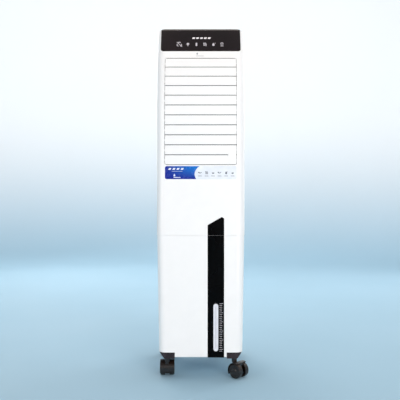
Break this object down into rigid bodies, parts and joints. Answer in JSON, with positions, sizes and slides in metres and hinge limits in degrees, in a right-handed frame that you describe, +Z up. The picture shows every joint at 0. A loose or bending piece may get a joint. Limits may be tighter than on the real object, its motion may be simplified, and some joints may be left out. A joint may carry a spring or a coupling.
{
  "type": "evaporative cooler",
  "caption": "Tall white floor-standing evaporative cooler with a shuttered front outlet, black touch panel, level window, water tank and twin-wheel casters.",
  "frame": {"origin": "on the floor under the middle of the cooler", "axes": "+Z up, the outlet and panel face -Y, +X to the right seen from the front"},
  "size_m": [0.3256, 0.3715, 1.206],
  "materials": {
    "white_plastic": "satin injection-moulded ABS, cool white",
    "grey_plastic": "moulded polypropylene, fine texture",
    "black_gloss": "polished brown-black plastic",
    "black_plastic": "black nylon, low sheen",
    "window_plastic": "clear polycarbonate",
    "hose_rubber": "flexible hose",
    "steel": "zinc-plated steel",
    "motor_aluminium": "motor casing",
    "circuit_board": "green fibreglass board",
    "cellulose_pad": "corrugated cellulose",
    "filter_net": "woven dust net"
  },
  "bodies": {
    "cabinet": {"water_tank": "white_plastic", "front_housing": "white_plastic", "rear_housing": "white_plastic", "top_cover": "white_plastic", "rear_grille": "white_plastic", "louvre_frame": "grey_plastic", "air_duct": "grey_plastic", "blower_scroll": "grey_plastic", "drip_deck": "grey_plastic", "water_tray": "grey_plastic", "control_panel": "black_gloss", "trim_upper": "black_gloss", "trim_lower": "black_gloss", "pump": "black_plastic", "cord_gland": "black_plastic", "caster_brackets": "black_plastic", "swing_motor": "black_plastic", "level_window": "window_plastic", "pump_hose": "hose_rubber", "screws": "steel", "caster_stems": "steel", "blower_motor": "motor_aluminium", "control_board": "circuit_board", "cooling_pad": "cellulose_pad", "dust_filter": "filter_net"},
    "louvre_01": {"louvre_01": "white_plastic"},
    "louvre_02": {"louvre_02": "white_plastic"},
    "louvre_03": {"louvre_03": "white_plastic"},
    "louvre_04": {"louvre_04": "white_plastic"},
    "louvre_05": {"louvre_05": "white_plastic"},
    "louvre_06": {"louvre_06": "white_plastic"},
    "louvre_07": {"louvre_07": "white_plastic"},
    "louvre_08": {"louvre_08": "white_plastic"},
    "louvre_09": {"louvre_09": "white_plastic"},
    "louvre_10": {"louvre_10": "white_plastic"},
    "louvre_11": {"louvre_11": "white_plastic"},
    "louvre_link": {"louvre_link": "grey_plastic"},
    "vane_1": {"vane_1": "grey_plastic"},
    "vane_2": {"vane_2": "grey_plastic"},
    "vane_3": {"vane_3": "grey_plastic"},
    "vane_4": {"vane_4": "grey_plastic"},
    "vane_5": {"vane_5": "grey_plastic"},
    "vane_link": {"vane_link": "grey_plastic"},
    "blower_rotor": {"blower_wheel": "grey_plastic", "motor_shaft": "steel"},
    "filler_door": {"filler_door": "white_plastic"},
    "drain_plug": {"drain_plug": "black_plastic"},
    "caster_fl": {"caster_fl_fork": "black_gloss"},
    "caster_fl_wheel_left": {"caster_fl_wheel_left": "black_plastic"},
    "caster_fl_wheel_right": {"caster_fl_wheel_right": "black_plastic"},
    "caster_fr": {"caster_fr_fork": "black_gloss"},
    "caster_fr_wheel_left": {"caster_fr_wheel_left": "black_plastic"},
    "caster_fr_wheel_right": {"caster_fr_wheel_right": "black_plastic"},
    "caster_rl": {"caster_rl_fork": "black_gloss"},
    "caster_rl_wheel_left": {"caster_rl_wheel_left": "black_plastic"},
    "caster_rl_wheel_right": {"caster_rl_wheel_right": "black_plastic"},
    "caster_rr": {"caster_rr_fork": "black_gloss"},
    "caster_rr_wheel_left": {"caster_rr_wheel_left": "black_plastic"},
    "caster_rr_wheel_right": {"caster_rr_wheel_right": "black_plastic"}
  },
  "joints": [
    {"name": "louvre_01_tilt", "type": "hinge", "parent": "cabinet", "child": "louvre_01", "pos_m": [0, -0.164, 0.73988], "axis": [-1, 0, 0], "range_deg": [0, 70]},
    {"name": "louvre_02_tilt", "type": "hinge", "parent": "cabinet", "child": "louvre_02", "pos_m": [0, -0.164, 0.77363], "axis": [-1, 0, 0], "range_deg": [0, 70]},
    {"name": "louvre_03_tilt", "type": "hinge", "parent": "cabinet", "child": "louvre_03", "pos_m": [0, -0.164, 0.80738], "axis": [-1, 0, 0], "range_deg": [0, 70]},
    {"name": "louvre_04_tilt", "type": "hinge", "parent": "cabinet", "child": "louvre_04", "pos_m": [0, -0.164, 0.84114], "axis": [-1, 0, 0], "range_deg": [0, 70]},
    {"name": "louvre_05_tilt", "type": "hinge", "parent": "cabinet", "child": "louvre_05", "pos_m": [0, -0.164, 0.87489], "axis": [-1, 0, 0], "range_deg": [0, 70]},
    {"name": "louvre_06_tilt", "type": "hinge", "parent": "cabinet", "child": "louvre_06", "pos_m": [0, -0.16342, 0.90839], "axis": [-1, 0, 0], "range_deg": [0, 70]},
    {"name": "louvre_07_tilt", "type": "hinge", "parent": "cabinet", "child": "louvre_07", "pos_m": [0, -0.16124, 0.94178], "axis": [-1, 0, 0], "range_deg": [0, 70]},
    {"name": "louvre_08_tilt", "type": "hinge", "parent": "cabinet", "child": "louvre_08", "pos_m": [0, -0.15746, 0.97503], "axis": [-1, 0, 0], "range_deg": [0, 70]},
    {"name": "louvre_09_tilt", "type": "hinge", "parent": "cabinet", "child": "louvre_09", "pos_m": [0, -0.15208, 1.00806], "axis": [-1, 0, 0], "range_deg": [0, 70]},
    {"name": "louvre_10_tilt", "type": "hinge", "parent": "cabinet", "child": "louvre_10", "pos_m": [0, -0.14512, 1.04078], "axis": [-1, 0, 0], "range_deg": [0, 70]},
    {"name": "louvre_11_tilt", "type": "hinge", "parent": "cabinet", "child": "louvre_11", "pos_m": [0, -0.13658, 1.07314], "axis": [-1, 0, 0], "range_deg": [0, 70]},
    {"name": "louvre_link_turn", "type": "hinge", "parent": "louvre_06", "child": "louvre_link", "pos_m": [-0.126, -0.14942, 0.90839], "axis": [-1, 0, 0], "range_deg": [-70, 0]},
    {"name": "vane_1_swing", "type": "hinge", "parent": "cabinet", "child": "vane_1", "pos_m": [-0.096, -0.092, 0.9], "axis": [0, 0, 1], "range_deg": [-35, 35]},
    {"name": "vane_2_swing", "type": "hinge", "parent": "cabinet", "child": "vane_2", "pos_m": [-0.048, -0.092, 0.9], "axis": [0, 0, 1], "range_deg": [-35, 35]},
    {"name": "vane_3_swing", "type": "hinge", "parent": "cabinet", "child": "vane_3", "pos_m": [0, -0.092, 0.9], "axis": [0, 0, 1], "range_deg": [-35, 35]},
    {"name": "vane_4_swing", "type": "hinge", "parent": "cabinet", "child": "vane_4", "pos_m": [0.048, -0.092, 0.9], "axis": [0, 0, 1], "range_deg": [-35, 35]},
    {"name": "vane_5_swing", "type": "hinge", "parent": "cabinet", "child": "vane_5", "pos_m": [0.096, -0.092, 0.9], "axis": [0, 0, 1], "range_deg": [-35, 35]},
    {"name": "vane_link_turn", "type": "hinge", "parent": "vane_3", "child": "vane_link", "pos_m": [0, -0.074, 1.0725], "axis": [0, 0, 1], "range_deg": [-35, 35]},
    {"name": "blower_spin", "type": "hinge", "parent": "cabinet", "child": "blower_rotor", "pos_m": [0, 0.01, 0.61], "axis": [0, 1, 0], "continuous": true},
    {"name": "filler_door_hinge", "type": "hinge", "parent": "cabinet", "child": "filler_door", "pos_m": [0, 0.167, 0.5032], "axis": [-1, 0, 0], "range_deg": [0, 80]},
    {"name": "drain_plug_pull", "type": "slide", "parent": "cabinet", "child": "drain_plug", "axis": [0, 1, 0], "range_m": [0, 0.03]},
    {"name": "caster_fl_swivel", "type": "hinge", "parent": "cabinet", "child": "caster_fl", "pos_m": [-0.115, -0.139, 0.055], "axis": [0, 0, 1], "continuous": true},
    {"name": "caster_fl_wheel_left_roll", "type": "hinge", "parent": "caster_fl", "child": "caster_fl_wheel_left", "pos_m": [-0.115, -0.119, 0.025], "axis": [1, 0, 0], "continuous": true},
    {"name": "caster_fl_wheel_right_roll", "type": "hinge", "parent": "caster_fl", "child": "caster_fl_wheel_right", "pos_m": [-0.115, -0.119, 0.025], "axis": [1, 0, 0], "continuous": true},
    {"name": "caster_fr_swivel", "type": "hinge", "parent": "cabinet", "child": "caster_fr", "pos_m": [0.115, -0.139, 0.055], "axis": [0, 0, 1], "continuous": true},
    {"name": "caster_fr_wheel_left_roll", "type": "hinge", "parent": "caster_fr", "child": "caster_fr_wheel_left", "pos_m": [0.12963, -0.15264, 0.025], "axis": [-0.682, -0.7314, 0], "continuous": true},
    {"name": "caster_fr_wheel_right_roll", "type": "hinge", "parent": "caster_fr", "child": "caster_fr_wheel_right", "pos_m": [0.12963, -0.15264, 0.025], "axis": [-0.682, -0.7314, 0], "continuous": true},
    {"name": "caster_rl_swivel", "type": "hinge", "parent": "cabinet", "child": "caster_rl", "pos_m": [-0.115, 0.139, 0.055], "axis": [0, 0, 1], "continuous": true},
    {"name": "caster_rl_wheel_left_roll", "type": "hinge", "parent": "caster_rl", "child": "caster_rl_wheel_left", "pos_m": [-0.12963, 0.15264, 0.025], "axis": [0.682, 0.7314, 0], "continuous": true},
    {"name": "caster_rl_wheel_right_roll", "type": "hinge", "parent": "caster_rl", "child": "caster_rl_wheel_right", "pos_m": [-0.12963, 0.15264, 0.025], "axis": [0.682, 0.7314, 0], "continuous": true},
    {"name": "caster_rr_swivel", "type": "hinge", "parent": "cabinet", "child": "caster_rr", "pos_m": [0.115, 0.139, 0.055], "axis": [0, 0, 1], "continuous": true},
    {"name": "caster_rr_wheel_left_roll", "type": "hinge", "parent": "caster_rr", "child": "caster_rr_wheel_left", "pos_m": [0.115, 0.159, 0.025], "axis": [1, 0, 0], "continuous": true},
    {"name": "caster_rr_wheel_right_roll", "type": "hinge", "parent": "caster_rr", "child": "caster_rr_wheel_right", "pos_m": [0.115, 0.159, 0.025], "axis": [1, 0, 0], "continuous": true}
  ],
  "couplings": [
    {"joint": "louvre_01_tilt", "follows": "louvre_06_tilt", "ratio": 1},
    {"joint": "louvre_02_tilt", "follows": "louvre_06_tilt", "ratio": 1},
    {"joint": "louvre_03_tilt", "follows": "louvre_06_tilt", "ratio": 1},
    {"joint": "louvre_04_tilt", "follows": "louvre_06_tilt", "ratio": 1},
    {"joint": "louvre_05_tilt", "follows": "louvre_06_tilt", "ratio": 1},
    {"joint": "louvre_07_tilt", "follows": "louvre_06_tilt", "ratio": 1},
    {"joint": "louvre_08_tilt", "follows": "louvre_06_tilt", "ratio": 1},
    {"joint": "louvre_09_tilt", "follows": "louvre_06_tilt", "ratio": 1},
    {"joint": "louvre_10_tilt", "follows": "louvre_06_tilt", "ratio": 1},
    {"joint": "louvre_11_tilt", "follows": "louvre_06_tilt", "ratio": 1},
    {"joint": "louvre_link_turn", "follows": "louvre_06_tilt", "ratio": -1},
    {"joint": "vane_1_swing", "follows": "vane_3_swing", "ratio": 1},
    {"joint": "vane_2_swing", "follows": "vane_3_swing", "ratio": 1},
    {"joint": "vane_4_swing", "follows": "vane_3_swing", "ratio": 1},
    {"joint": "vane_5_swing", "follows": "vane_3_swing", "ratio": 1},
    {"joint": "vane_link_turn", "follows": "vane_3_swing", "ratio": -1}
  ]
}
